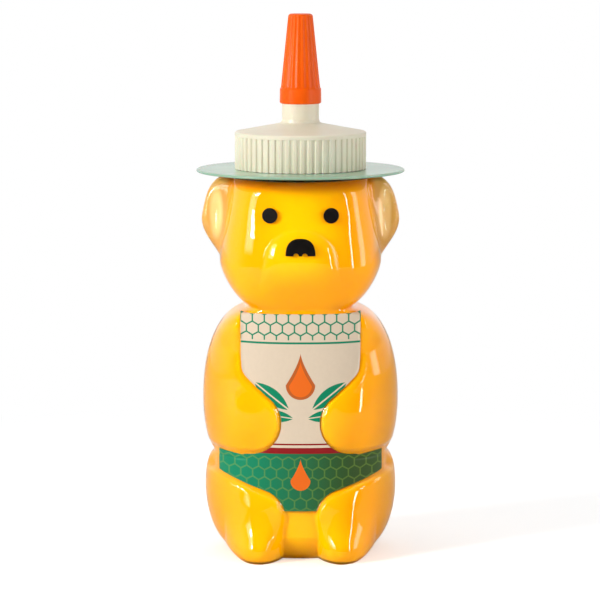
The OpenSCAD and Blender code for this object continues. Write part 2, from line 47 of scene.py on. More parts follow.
# The photograph's camera comes first
cameraSet = {"place": (0.0, -0.900, 0.1951), "aim": (0.0, 0.0, 0.0768), "lens": 178.4, "shiftX": -0.5 / 600}


def makeCamera(c):
    data = bpy.data.cameras.new("camera")
    data.lens = c["lens"]
    data.sensor_width = 36
    data.shift_x = c["shiftX"]
    cam = bpy.data.objects.new("camera", data)
    cam.location = c["place"]
    cam.rotation_euler = (Vector(c["aim"]) - Vector(c["place"])).to_track_quat("-Z", "Y").to_euler()
    scene.collection.objects.link(cam)
    scene.camera = cam
    return cam


makeCamera(cameraSet)
scene.view_settings.view_transform = "Standard"
print("camera is set")


# Shader maths: a socket that takes part in sums
class Wire:
    def __init__(self, tree, out):
        self.tree = tree
        self.out = out

    def node(self, kind, settings, values, output=0):
        made = self.tree.nodes.new(kind)
        for key, value in settings.items():
            if key == "stops":
                ramp = made.color_ramp
                while len(ramp.elements) < len(value):
                    ramp.elements.new(1.0)
                for stop, (place, colour) in zip(ramp.elements, value):
                    stop.position = place
                    stop.color = colour if len(colour) == 4 else (*colour, 1)
            else:
                setattr(made, key, value)
        for key, value in values.items():
            if isinstance(value, Wire):
                self.tree.links.new(value.out, made.inputs[key])
            else:
                made.inputs[key].default_value = value
        return Wire(self.tree, made.outputs[output])

    def maths(self, operation, *values):
        return self.node("ShaderNodeMath", {"operation": operation}, dict(enumerate(values)))

    def __add__(self, other):
        return self.maths("ADD", self, other)

    def __radd__(self, other):
        return self.maths("ADD", other, self)

    def __sub__(self, other):
        return self.maths("SUBTRACT", self, other)

    def __rsub__(self, other):
        return self.maths("SUBTRACT", other, self)

    def __mul__(self, other):
        return self.maths("MULTIPLY", self, other)

    def __rmul__(self, other):
        return self.maths("MULTIPLY", other, self)

    def __truediv__(self, other):
        return self.maths("DIVIDE", self, other)

    def __gt__(self, other):
        return self.maths("GREATER_THAN", self, other)

    def __lt__(self, other):
        return self.maths("LESS_THAN", self, other)

    def either(self, other):
        return self.maths("MAXIMUM", self, other)

    # 0 below low, 1 above high, smooth between
    def rise(self, low, high):
        return self.node("ShaderNodeMapRange", {"interpolation_type": "SMOOTHSTEP"},
                         {"Value": self, "From Min": low, "From Max": high})

    # colour a where this is 0, colour b where it is 1
    def between(self, a, b):
        colours = {key: value if isinstance(value, Wire) else (*value, 1) for key, value in ((6, a), (7, b))}
        return self.node("ShaderNodeMix", {"data_type": "RGBA"}, {0: self, **colours}, output=2)


# A Principled material with its fixed values set on its sockets. What varies over the surface is linked by feed.
def newMaterial(name, fixed):
    material = bpy.data.materials.new(name)
    material.use_nodes = True
    tree = material.node_tree
    shader = tree.nodes["Principled BSDF"]
    for key, value in fixed.items():
        shader.inputs[key].default_value = value
    coords = tree.nodes.new("ShaderNodeTexCoord")
    place = Wire(tree, coords.outputs["Object"])
    return material, shader, place


def feed(shader, name, wire):
    wire.tree.links.new(wire.out, shader.inputs[name])


# the three axes of a place or a direction, as wires
def axesOf(place):
    split = place.tree.nodes.new("ShaderNodeSeparateXYZ")
    place.tree.links.new(place.out, split.inputs[0])
    return [Wire(place.tree, split.outputs[k]) for k in range(3)]


# The bear's form, in millimetres, as the part's source has it, but with a thinner floor and a little more
# honey, so that the honey shows from the resting edge up to the brim
bear = {
    "shoulderZ": 116.3, "cheekZ": 89.5, "neckZ": 76.4, "chestZ": 47.0, "waistZ": 31.0, "hipZ": 20.5,
    "base": (18.0, 16.5, 16.0), "hip": (29.2, 24.0, 23.4), "waist": (26.1, 22.6, 21.3),
    "chest": (29.8, 23.7, 24.0), "neck": (15.4, 22.0, 16.5), "cheek": (24.5, 25.0, 22.8),
    "crown": (20.9, 22.0, 21.2), "seatR": 20.2, "edgeH": 5.0, "panelFront": 22.3,
    "paw": (15.2, 42.3), "elbow": (26.5, 52.0), "armR": 8.5, "armInnerX": 18.9, "armLow": 33.9,
    "knee": (13.0, 13.6), "thighEnd": (27.5, 18.8), "thighR": 7.3, "shinR": 6.5, "shankTop": 17.0,
    "toeFront": 27.6, "footH": 16.0, "limbEdge": 0.8, "tailOut": 2.6,
    "earOut": 7.3, "earUp": 12.0, "earDown": 13.4, "earHalfT": 8.7, "earDish": 1.7,
    "muzzleZ": 91.8, "muzzleHalfW": 10.9, "muzzleUp": 9.4, "muzzleOut": 2.8,
    "eyeX": 9.1, "eyeZ": 104.9, "eyeD": 4.6, "noseZ": 95.9, "noseW": 8.8, "noseH": 5.0, "nosePower": 2.5,
    "notchX": 1.3, "notchR": 0.8,
    "wall": 0.9, "floorT": 0.9, "topT": 1.4, "pushUpR": 10.0, "pushUpH": 0.7,
    "boreR": 16.5, "rootR": 17.6, "threadR": 18.65, "finishH": 10.2, "pitch": 4.2333, "neckTurns": 1.25,
    "honeyZ": 114.6, "honeyGap": 0.1,
}


# eases from 0 at a to 1 at b
def smooth(a, b, x):
    t = np.clip((x - a) / (b - a), 0, 1)
    return t * t * (3 - 2 * t)


# a quarter of a superellipse with a soft start
def quarter(t, power, soft):
    t = np.clip(t, 0, 1)
    t = (np.sqrt(t * t + soft * soft) - soft) / (math.sqrt(1 + soft * soft) - soft)
    return (1 - (1 - t) ** power) ** (1 / power)


def hump(distance2, power):
    return np.clip(1 - distance2, 0, 1) ** power


def mound(x, z, x0, z0, rx, rz):
    return np.exp(-((x - x0) / rx) ** 2 - ((z - z0) / rz) ** 2)


def softMax(a, b, k):
    return (a + b + np.sqrt((a - b) ** 2 + k * k)) / 2


# half width, front depth or back depth of the trunk: arcs from each crease to the next bulge
def halfSize(z, k):
    b = bear
    low, hip, waist, chest, neck, cheek, crown = (
        b[name][k] for name in ("base", "hip", "waist", "chest", "neck", "cheek", "crown"))
    legs = low + (hip - low) * quarter(z / b["hipZ"], 2.0, 0.0)
    hips = waist + (hip - waist) * quarter((b["waistZ"] - z) / (b["waistZ"] - b["hipZ"]), 2.1, 0.06)
    belly = waist + (chest - waist) * quarter((z - b["waistZ"]) / (b["chestZ"] - b["waistZ"]), 1.9, 0.05)
    breast = neck + (chest - neck) * quarter((b["neckZ"] - z) / (b["neckZ"] - b["chestZ"]), 2.2, 0.03)
    jaw = neck + (cheek - neck) * quarter((z - b["neckZ"]) / (b["cheekZ"] - b["neckZ"]), 1.45, 0.05)
    side = cheek + (crown - cheek) * smooth(b["cheekZ"], b["shoulderZ"], z)
    t = np.clip((z - b["shoulderZ"]) / b["edgeH"] + 1, 0, 1)
    top = b["seatR"] + (side - b["seatR"]) * np.sqrt(np.clip(1 - t * t, 0, 1))
    steps = [z < b["hipZ"], z < b["waistZ"], z < b["chestZ"], z < b["neckZ"], z < b["cheekZ"]]
    return np.select(steps, [legs, hips, belly, breast, jaw], top)


# distance into a bar with round ends, seen from the front
def barDepth(x, z, p, q, r):
    dx, dz = q[0] - p[0], q[1] - p[1]
    t = np.clip(((x - p[0]) * dx + (z - p[1]) * dz) / (dx * dx + dz * dz), 0, 1)
    return r - np.hypot(x - p[0] - t * dx, z - p[1] - t * dz)


# distance into the arm and into the leg, seen from the front
def limbDepth(x, z):
    b = bear
    arm = softMax(barDepth(x, z, b["paw"], b["elbow"], b["armR"]),
                  np.minimum(x - b["armInnerX"], z - b["armLow"]), 1.5)
    shin = barDepth(x, z, b["knee"], (b["knee"][0], -8.0), b["shinR"])
    leg = softMax(barDepth(x, z, b["knee"], b["thighEnd"], b["thighR"]), shin, 1.0)
    leg = np.maximum(leg, np.minimum(x - b["knee"][0], b["shankTop"] - z))
    return np.maximum(arm, leg)


# The whole outer skin. th is the angle round the axis from the front and z the height. The radius is a
# superellipse of the trunk's sizes, plus the limbs that stand proud of the label panel, the face, the ears and
# the tail.
def bearSkin(th, z):
    b = bear
    s, c = np.sin(th), np.cos(th)
    square = 2.2 + 0.45 * smooth(b["neckZ"], b["neckZ"] + 10, z)
    square = square - 0.65 * smooth(b["shoulderZ"] - 6, b["shoulderZ"], z)
    square = square + 1.9 * np.exp(-((z - b["neckZ"]) / 7) ** 2) * (c > 0)
    depth = np.where(c > 0, halfSize(z, 1), halfSize(z, 2))
    r = (np.abs(s / halfSize(z, 0)) ** square + np.abs(c / depth) ** square) ** (-1 / square)
    front, x = smooth(0, 7, r * c), np.abs(r * s)
    torso = smooth(b["neckZ"] + 0.3, b["neckZ"] - 1, z)
    r = r + front * 0.9 * mound(x, z, *b["paw"], 7, 7)
    r = r + front * 2.0 * mound(x, z, *b["knee"], 6.5, 6.5)
    x = np.abs(r * s)
    panel = (np.abs(s / (b["waist"][0] + 0.4)) ** 2.3 + np.abs(c / b["panelFront"]) ** 2.3) ** (-1 / 2.3)
    panel = np.minimum(panel - 2.6 * smooth(9, 0, z) ** 2, r)
    r = r + (panel - r) * smooth(b["limbEdge"], -b["limbEdge"], limbDepth(x, z)) * front * torso

    x, face = r * s, smooth(4, 12, r * c)
    below, above = np.clip(b["muzzleZ"] - z, 0, None), np.clip(z - b["muzzleZ"], 0, None)
    snout = hump((x / (b["muzzleHalfW"] + 0.2 * below)) ** 2 + (above / b["muzzleUp"]) ** 2, 0.8)
    snout = snout * np.cos(np.clip(below / 15, 0, 1) * np.pi / 2) ** 2
    r = r + face * (b["muzzleOut"] * snout - 0.5 * mound(np.abs(x), z, b["eyeX"], b["eyeZ"] - 0.3, 4.2, 4.5))

    u = (np.abs(th) - math.radians(94)) * 0.4 * 180 / math.pi
    thin = np.clip(1 - (u / (b["earHalfT"] + 0.8)) ** 2, 0.02, 1) ** 0.3
    w = (z - (b["shoulderZ"] - b["earUp"] - 0.7)) / thin
    high = np.where(w > 0, np.sqrt(hump(np.clip(w / b["earUp"], 0, 1) ** 3.4, 1)),
                    np.cos(np.clip(-w / b["earDown"], 0, 1) * np.pi / 2) ** 1.25)
    r = r + b["earOut"] * high * smooth(-0.92 * b["earHalfT"], -2.2, u) * smooth(b["earHalfT"] + 0.8, 2, u)

    back, x = smooth(2, 9, -r * c), np.abs(r * s)
    arm = softMax(np.minimum(x - 17.5, z - b["armLow"] - 0.6),
                  barDepth(x, z, (20.5, b["chestZ"] - 3), (24, b["chestZ"] + 13), 6), 2)
    torso = smooth(b["waistZ"] + 0.5, b["waistZ"] + 5, z) * smooth(b["neckZ"] - 0.4, b["neckZ"] - 6, z)
    tail = hump((x / 7) ** 2 + ((z - b["hipZ"] + 5.5) / 7) ** 2, 0.9)
    r = r - 1.3 * back * torso * smooth(1.2, -1.2, arm) + b["tailOut"] * back * tail

    x, y = r * s, -r * c
    dish = mound(np.abs(x), z, b["crown"][0] + 4.7, b["shoulderZ"] - b["earUp"] + 0.2, 2.4, 7)
    y = y + b["earDish"] * dish * smooth(2, -1, u) * smooth(-9, -5, u)
    side, t = np.abs(x) - 12.4, np.clip(z / 2.6, 0, 1)
    edge = 1.8 * (1 - np.sqrt(np.clip(1 - (1 - t) ** 2, 0, 1)))
    toe = b["toeFront"] - 0.07 * (np.abs(x) - 12) ** 2 - edge
    reach = hump((side / np.where(side > 0, 10.5, 6.8)) ** 2, 0.55)
    reach = reach * smooth(b["footH"], 4, z) * smooth(0, 12, -y)
    return np.stack([x, y - np.maximum(toe + y, 0) * reach, z], -1)


# Meshes from grids of points
def finishMesh(name, points, quads, smoothFaces=True):
    mesh = bpy.data.meshes.new(name)
    mesh.from_pydata(points.reshape(-1, 3), [], quads)
    mesh.polygons.foreach_set("use_smooth", np.full(len(mesh.polygons), smoothFaces))
    mesh.update()
    piece = bpy.data.objects.new(name, mesh)
    scene.collection.objects.link(piece)
    return piece


# quads between rows of a grid whose columns close round into a ring
def ringQuads(rows, cols):
    i, j = np.meshgrid(np.arange(rows - 1) * cols, np.arange(cols), indexing="ij")
    k = (j + 1) % cols
    return np.stack([i + j, i + k, i + cols + k, i + cols + j], -1).reshape(-1, 4)


# rings of points stacked into one closed skin, with a fan at each end that closes on the axis
def ringSkin(name, rings):
    rows, cols = rings.shape[:2]
    quads = ringQuads(rows, cols)
    ends = [rings[0].mean(0) * (0, 0, 1), rings[-1].mean(0) * (0, 0, 1)]
    points = np.concatenate([rings.reshape(-1, 3), ends]) * mm
    j = np.arange(cols)
    k = (j + 1) % cols
    last, first = rows * cols + 1, rows * cols
    low = np.stack([k, j, np.full(cols, first)], -1)
    high = np.stack([(rows - 1) * cols + j, (rows - 1) * cols + k, np.full(cols, last)], -1)
    return finishMesh(name, points, quads.tolist() + low.tolist() + high.tolist())


# Rings of a profile turned about the axis. Each row gives a radius, a height and the share of the flutes there,
# and the flutes take away a depth times half of one plus the cosine of their number times the angle.
def turnedRings(profile, steps, flutes, depth):
    r, z, cut = (np.array(profile, float)[:, k, None] for k in range(3))
    a = np.linspace(0, 2 * np.pi, steps, endpoint=False)
    r = r - depth * cut * (0.5 + 0.5 * np.cos(flutes * a))
    return np.stack([r * np.sin(a), -r * np.cos(a), z + 0 * a], -1)


skinGrid = {"around": 300, "up": 250, "insideStep": 4}
theta = np.linspace(-math.pi, math.pi, skinGrid["around"], endpoint=False)
share = np.linspace(0, 1, skinGrid["up"])
heights = bear["shoulderZ"] * (share - 0.5 * np.sin(2 * np.pi * share) / (2 * np.pi))
skin = bearSkin(*np.meshgrid(theta, heights))
print("bear's skin worked out,", skin.shape)


def circleRing(r, z):
    return np.stack([r * np.sin(theta), -r * np.cos(theta), np.full_like(theta, z)], -1)


# the points drawn in towards the axis by a distance, at new heights
def drawnIn(points, by, z):
    rho = np.hypot(points[..., 0], points[..., 1])[..., None]
    flat = points[..., :2] * (rho - by) / rho
    return np.concatenate([flat, np.broadcast_to(z, flat.shape[:-1])[..., None]], -1)


def innerHeights(z):
    return (z + bear["floorT"] * np.clip(1 - z / 12, 0, 1) ** 2
            - bear["topT"] * np.clip((z - bear["shoulderZ"]) / 8 + 1, 0, 1) ** 2)


# the outer skin with the hollow under the floor, the flat top and the neck's outside, then the inner wall back
# down; the faces inside that the honey touches take the second material
def makeShell():
    b = bear
    top, neckTop = b["shoulderZ"], b["shoulderZ"] + b["finishH"]
    foot = [circleRing(b["pushUpR"] - b["pushUpH"], b["pushUpH"]), circleRing(b["pushUpR"], 0)]
    neckOut = [(b["rootR"] + 1.15, top), (b["rootR"] + 1.15, top + 0.3), (b["rootR"], top + 0.7),
               (b["rootR"], neckTop - 0.3), (b["rootR"] - 0.3, neckTop), (b["boreR"], neckTop),
               (b["boreR"], top - b["topT"] - 0.3)]
    picked = slice(-2, 0, -skinGrid["insideStep"])
    inside = drawnIn(skin[picked], b["wall"], innerHeights(heights[picked])[:, None])
    rings = np.concatenate([np.array(foot), skin, np.array([circleRing(*p) for p in neckOut]), inside])
    piece = ringSkin("bottle_shell", rings)
    wet = np.zeros(len(piece.data.polygons), int)
    firstWet = len(rings) - len(inside) + int(np.sum(inside[:, 0, 2] > b["honeyZ"]))
    wet[firstWet * skinGrid["around"]:(len(rings) - 1) * skinGrid["around"]] = 1
    wet[-skinGrid["around"]:] = 1
    piece.data.polygons.foreach_set("material_index", wet)
    return piece


# the fill, a little clear of the wall
def makeHoney():
    b = bear
    z = innerHeights(heights)
    keep = z <= b["honeyZ"]
    z = z[keep]
    rings = drawnIn(skin[keep], b["wall"] + b["honeyGap"], z[:, None])
    rings[0, :, 2] = b["floorT"] + b["honeyGap"]
    return ringSkin("honey_fill", rings)


# a right-hand helical ridge with a trapezoid section whose height fades at both ends
def makeThread(name, root, crest, start, fromTurn, turns, steps=140):
    t = np.linspace(0, turns, steps)
    fade = np.clip(np.minimum(t, turns - t) / 0.09, 0, 1) * 0.85 + 0.15
    a = 2 * np.pi * (t + fromTurn)
    z = start + bear["pitch"] * (t + fromTurn)
    section = [(0, -1.0), (0.85, -0.62), (1, -0.45), (1, 0.45), (0.85, 0.62), (0, 1.0)]
    share, rise = np.array(section).T
    r = root + (crest - root) * fade[:, None] * share
    points = np.stack([r * np.cos(a)[:, None], r * np.sin(a)[:, None], z[:, None] + rise], -1) * mm
    n = len(section)
    i, j = np.meshgrid(np.arange(steps - 1) * n, np.arange(n), indexing="ij")
    k = (j + 1) % n
    quads = np.stack([i + j, i + k, i + n + k, i + n + j], -1).reshape(-1, 4).tolist()
    if crest < root:
        quads = [q[::-1] for q in quads]
    ends = [list(range(n)), [(steps - 1) * n + m for m in range(n)][::-1]]
    if crest > root:
        ends = [e[::-1] for e in ends]
    return finishMesh(name, points, quads + ends)


shell = makeShell()
honey = makeHoney()
neckThread = makeThread("neck_thread", bear["rootR"] - 0.3, bear["threadR"], bear["shoulderZ"] + 2.7, 0,
                        bear["neckTurns"])
print("shell, honey and neck thread made")

# The printed label: a thin skin over the front panel, cut round the limbs
label = {"margin": 0.9, "halfW": 24.6, "low": 15.7, "high": 75.4, "gap": 0.02, "t": 0.15,
         "cols": 180, "rows": 220,
         "cream": (0.80, 0.66, 0.50), "green": (0.0, 0.25, 0.12), "red": (0.30, 0.008, 0.01),
         "orange": (0.90, 0.16, 0.01), "rust": (0.55, 0.12, 0.02)}


# The angle whose skin point has a wanted x at a height, by interpolation along each row of the front skin
def frontPoints(xs, zs):
    half = np.linspace(-math.pi / 2, math.pi / 2, 721)
    rows = bearSkin(*np.meshgrid(half, zs))
    out = np.empty((len(zs), len(xs), 3))
    for i, row in enumerate(rows):
        order = np.argsort(row[:, 0])
        out[i, :, 0] = xs
        out[i, :, 1] = np.interp(xs, row[order, 0], row[order, 1])
        out[i, :, 2] = zs[i]
    return out


# A thin patch: grid cells kept where the outline's depth is over 0, with the border points moved onto the
# outline by steps of depth over slope. Each point's place on the front comes from the four grid points round it.
def makePatch(name, xs, zs, depth, gap, thick):
    grid = np.stack(np.meshgrid(xs, zs), -1)
    step, probe = max(xs[1] - xs[0], zs[1] - zs[0]), 0.02
    for turn in range(4):
        d = depth(grid[..., 0], grid[..., 1])
        slopeX = (depth(grid[..., 0] + probe, grid[..., 1]) - d) / probe
        slopeZ = (depth(grid[..., 0], grid[..., 1] + probe) - d) / probe
        size2 = np.maximum(slopeX ** 2 + slopeZ ** 2, 1e-6)
        near = (d < 0) & (d > -0.8 * step)
        grid[..., 0] -= np.where(near, d * slopeX / size2, 0)
        grid[..., 1] -= np.where(near, d * slopeZ / size2, 0)
    keep = depth(grid[..., 0], grid[..., 1]) > -0.03
    i, j = np.nonzero(keep[:-1, :-1] & keep[:-1, 1:] & keep[1:, 1:] & keep[1:, :-1])
    front = frontPoints(xs, zs)[..., 1]
    col, row = (grid[..., 0] - xs[0]) / (xs[1] - xs[0]), (grid[..., 1] - zs[0]) / (zs[1] - zs[0])
    i0, j0 = np.clip(row.astype(int), 0, len(zs) - 2), np.clip(col.astype(int), 0, len(xs) - 2)
    v, u = row - i0, col - j0
    y = ((front[i0, j0] * (1 - u) + front[i0, j0 + 1] * u) * (1 - v)
         + (front[i0 + 1, j0] * (1 - u) + front[i0 + 1, j0 + 1] * u) * v)
    rho = np.hypot(grid[..., 0], y)
    out = np.stack([grid[..., 0] * (rho + gap) / rho, y * (rho + gap) / rho, grid[..., 1]], -1)
    a, cols = i * len(xs) + j, len(xs)
    used, back = np.unique(np.stack([a, a + 1, a + cols + 1, a + cols], -1), return_inverse=True)
    piece = finishMesh(name, out.reshape(-1, 3)[used] * mm, back.reshape(-1, 4).tolist())
    solid = piece.modifiers.new("thickness", "SOLIDIFY")
    solid.thickness = thick * mm
    solid.offset = 1
    return piece


def labelDepth(x, z):
    ax = np.abs(x)
    box = np.minimum(np.minimum(label["halfW"] - ax, z - label["low"]), label["high"] - z)
    corner = 2.0
    qx, qz = label["halfW"] - corner - ax, np.minimum(z - label["low"], label["high"] - z) - corner
    rounded = np.where((qx < 0) & (qz < 0), corner - np.hypot(qx, qz), box)
    return np.minimum(rounded, -limbDepth(ax, z) - label["margin"])


def eyeDepth(side):
    def depth(x, z):
        return bear["eyeD"] / 2 - np.hypot(x - side * bear["eyeX"], z - bear["eyeZ"])
    return depth


# Half a superellipse over a flat lower edge with two small round bites
def noseDepth(x, z):
    half, power, up = bear["noseW"] / 2, bear["nosePower"], z - bear["noseZ"] + bear["noseH"] / 2
    dome = 1 - ((np.abs(x) / half) ** power + (np.maximum(up, 0) / bear["noseH"]) ** power) ** (1 / power)
    bite = np.hypot(np.abs(x) - bear["notchX"], up) - bear["notchR"]
    return np.minimum(np.minimum(dome * half, up), bite)


frontLabel = makePatch("label_print", np.linspace(-25.4, 25.4, label["cols"]),
                       np.linspace(15, 76, label["rows"]), labelDepth, label["gap"], label["t"])
eyeSpan = np.linspace(-bear["eyeD"] * 0.65, bear["eyeD"] * 0.65, 60)
eyes = [makePatch(name, side * bear["eyeX"] + eyeSpan, bear["eyeZ"] + eyeSpan, eyeDepth(side),
                  label["gap"], label["t"])
        for name, side in (("left_eye_print", 1), ("right_eye_print", -1))]
nose = makePatch("nose_print", np.linspace(-0.6, 0.6, 110) * bear["noseW"],
                 bear["noseZ"] + np.linspace(-0.7, 0.7, 76) * bear["noseH"], noseDepth,
                 label["gap"], label["t"])
print("label, eyes and nose made")

# The pull-off tip cap, in millimetres: heights are above its lower edge
tip = {"collarR": 6.3, "collarH": 4.4, "topR": 3.8, "round": 1.0, "sleeveR": 4.9, "boreTopR": 2.5,
       "boreTop": 22.7, "plugR": 1.0, "plugLow": 20.0, "flutes": 20, "fluteDepth": 0.22}


# From the plug's end up to the bore's roof, down the bore, round the collar, and up the fluted cone to the top,
# which is a quarter circle
def makeTipCap():
    t, (low, high) = tip, (corner[2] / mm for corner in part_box("tip_cap"))
    inside = [(t["plugR"], t["plugLow"], 0), (t["plugR"], t["boreTop"], 0), (t["boreTopR"], t["boreTop"], 0),
              (t["sleeveR"], 0, 0)]
    collar = [(t["collarR"] - 0.3, 0, 0), (t["collarR"], 0.3, 0), (t["collarR"] - 0.05, t["collarH"], 0),
              (t["collarR"] - 0.25, t["collarH"] + 0.3, 0), (t["collarR"] - 0.34, t["collarH"] + 0.8, 1)]
    turn = np.radians(np.linspace(0, 85, 9))
    top = [(t["topR"] - t["round"] * (1 - math.cos(v)), high - low - t["round"] * (1 - math.sin(v)),
            max(0.0, 1 - v / 0.8)) for v in turn]
    profile = [(r, z + low, cut) for r, z, cut in inside + collar + top]
    piece = ringSkin("tip_cap_shell", turnedRings(profile, 240, t["flutes"], t["fluteDepth"]))
    piece.data.set_sharp_from_angle(angle=math.radians(32))
    return piece


tipCap = makeTipCap()
print("tip cap made")

# Materials
# Clear plastic that bends light. Rays to the lamps pass it straight, so that light reaches the honey.
def clearMaterial(name, tint, roughness):
    material, shader, place = newMaterial(name, {
        "Base Color": (*tint, 1), "Roughness": roughness, "IOR": 1.36, "Transmission Weight": 1.0})
    tree = material.node_tree
    toLamp = place.node("ShaderNodeLightPath", {}, {}, output=1)
    clear = place.node("ShaderNodeBsdfTransparent", {}, {"Color": (*tint, 1)})
    mix = place.node("ShaderNodeMixShader", {}, {0: toLamp, 1: Wire(tree, shader.outputs[0]), 2: clear})
    tree.links.new(mix.out, tree.nodes["Material Output"].inputs["Surface"])
    return material


# Where honey wets the wall there is no air between them, so the wall's inside bends and mirrors nothing
def wetMaterial():
    material = bpy.data.materials.new("wet_wall")
    material.use_nodes = True
    tree = material.node_tree
    tree.nodes.clear()
    clear = Wire(tree, None).node("ShaderNodeBsdfTransparent", {}, {"Color": (1, 1, 1, 1)})
    out = tree.nodes.new("ShaderNodeOutputMaterial")
    tree.links.new(clear.out, out.inputs["Surface"])
    return material


# Honey: a painted glow, bright yellow in front and orange beside that, painted amber shade at the sides, a
# painted shadow under the brim, and in the ears, which hold a thin layer, a pale painted glow inside a darker
# painted rim. Each share is a smooth step of the place, and soft clouds break it up.
honeyColours = {"paintedGlowFront": (1.0, 0.53, 0.0), "flank": (0.98, 0.42, 0.0), "chin": (0.97, 0.40, 0.0),
                "paintedSideShade": (0.60, 0.28, 0.02), "band": (0.74, 0.19, 0.0), "earPaintedRimShade": (0.62, 0.33, 0.08),
                "earDish": (0.90, 0.64, 0.27), "cloud": (0.96, 0.33, 0.0)}


def honeyMaterial():
    material, shader, place = newMaterial("honey_fill", {
        "Roughness": 0.6, "Specular IOR Level": 0.0, "Subsurface Weight": 0.2,
        "Subsurface Radius": (1.0, 0.45, 0.05), "Subsurface Scale": 0.006})
    colours = honeyColours
    x, y, z = axesOf(place)
    side, z = x.maths("ABSOLUTE", x) / mm, z / mm
    cloud = place.node("ShaderNodeTexNoise", {}, {"Vector": place, "Scale": 26.0, "Detail": 2.0})
    # painted glow: bright yellow in front, turning orange towards the sides
    body = side.rise(2.0, 15.0).between(colours["paintedGlowFront"], colours["flank"])
    chin = z.rise(90.0, 82.0) * z.rise(70.0, 76.0)
    body = (chin * 0.8).between(body, colours["chin"])
    body = ((cloud - 0.5) * 0.5 + 0.1).between(body, colours["cloud"])
    # painted shade: amber towards the sides
    body = (side.rise(17.5, 29.5) * 0.8).between(body, colours["paintedSideShade"])
    # painted shadow: a dark orange band under the brim
    body = (z.rise(110.5, 114.0) * 0.9).between(body, colours["band"])
    # the ears: a darker painted rim, and inside it a pale painted glow where the honey is thin
    ear = side.rise(20.5, 23.0) * z.rise(88.0, 96.0)
    body = ear.between(body, colours["earPaintedRimShade"])
    across, up = (side - 25.4) / 2.1, (z - 104.0) / 7.5
    dish = (across * across + up * up).rise(1.5, 0.3)
    body = (ear * dish).between(body, colours["earDish"])
    feed(shader, "Base Color", body)
    return material


# Label print: cream above, a dark red rule at the waist, green below with honeycomb cells and drops
def labelMaterial():
    material, shader, place = newMaterial("label_print", {"Roughness": 0.42, "Specular IOR Level": 0.2})
    x, y, z = axesOf(place)
    x, z = x / mm, z / mm
    paper = place.node("ShaderNodeTexNoise", {}, {"Vector": place, "Scale": 900.0, "Detail": 3.0})
    cream = (paper * 0.5).between(label["cream"], (0.70, 0.57, 0.42))
    # painted shade: the green print darkens towards the right side
    green = ((x + 20.0) / 40.0).rise(0.0, 1.0).between(label["green"], (0.035, 0.085, 0.012))
    colour = (z < 33.2).between(cream, green)
    colour = (hexMask(x, z - 24.0, 3.6) * (z < 32.4) * 0.3).between(colour, (0.25, 0.42, 0.05))
    colour = dropMask(x, z - 25.0, 3.0).between(colour, label["orange"])
    rule = ((z > 33.2) * (z < 35.0)).either((z > 35.8) * (z < 36.3))
    colour = rule.between(colour, label["red"])
    side = x.maths("ABSOLUTE", x)
    colour = (hexMask(x, z - 71.0, 3.6) * (z > 67.6)).between(colour, label["green"])
    colour = ((z > 66.4) * (z < 67.0)).between(colour, label["green"])
    leaves = leafMask(side - 8.6, z - 50.6, 6.6, 38).either(leafMask(side - 7.0, z - 44.6, 5.0, 8))
    colour = leaves.between(colour, label["green"])
    colour = dropMask(x, z - 54.0, 4.4).between(colour, label["rust"])
    colour = dropMask(x, z - 53.8, 3.4).between(colour, label["orange"])
    feed(shader, "Base Color", colour)
    return material


# A drop: a half circle below, and above it a point whose half width falls to nothing at 2.2 radii
def dropMask(x, z, radius):
    side, t = x.maths("ABSOLUTE", x) / radius, z / radius
    low = (side * side + t * t) < 1.0
    taper = (1 - t / 2.2).maths("MAXIMUM", 1 - t / 2.2, 0.0)
    high = (side < taper.maths("POWER", taper, 1.4)) * (t > 0.0)
    return (low * (t < 0.001)).either(high)


# A leaf: an oval turned by an angle in degrees, less a thin line along its middle
def leafMask(x, z, length, turn):
    c, s = math.cos(math.radians(turn)), math.sin(math.radians(turn))
    u, v = (x * c + z * s) / length, (z * c - x * s) / (length * 0.34)
    side = v.maths("ABSOLUTE", v)
    return (side < (1 - u * u)) * (side > 0.1) * (u * u < 1.0)


# Outlines of hexagonal cells of a pitch. The distance to a cell's edge is the larger of the distance across it
# and the one along its slanted sides, folded into one quarter, for two sets of cells half a cell apart.
def hexMask(x, z, pitch):
    rowH, far = pitch * math.sqrt(3), 100

    def cell(shift):
        across, up = x + shift * pitch, z + shift * rowH
        u, v = across.maths("PINGPONG", across, pitch / 2), up.maths("PINGPONG", up, rowH / 2)
        return u.either(u * 0.5 + v * (math.sqrt(3) / 2))

    one, two = cell(far), cell(far + 0.5)
    return one.maths("MINIMUM", one, two) > pitch * 0.44


# A plastic or print whose colour drifts to a second one in soft clouds, with a very fine bump
def glossyMaterial(name, colour, second, scale, fixed):
    material, shader, place = newMaterial(name, fixed)
    cloud = place.node("ShaderNodeTexNoise", {}, {"Vector": place, "Scale": scale, "Detail": 3.0})
    feed(shader, "Base Color", cloud.rise(0.35, 0.65).between(colour, second))
    fine = place.node("ShaderNodeTexNoise", {}, {"Vector": place, "Scale": 700.0, "Detail": 2.0})
    bump = place.node("ShaderNodeBump", {}, {"Strength": 0.04, "Distance": 0.0002, "Height": fine})
    feed(shader, "Normal", bump)
    return material


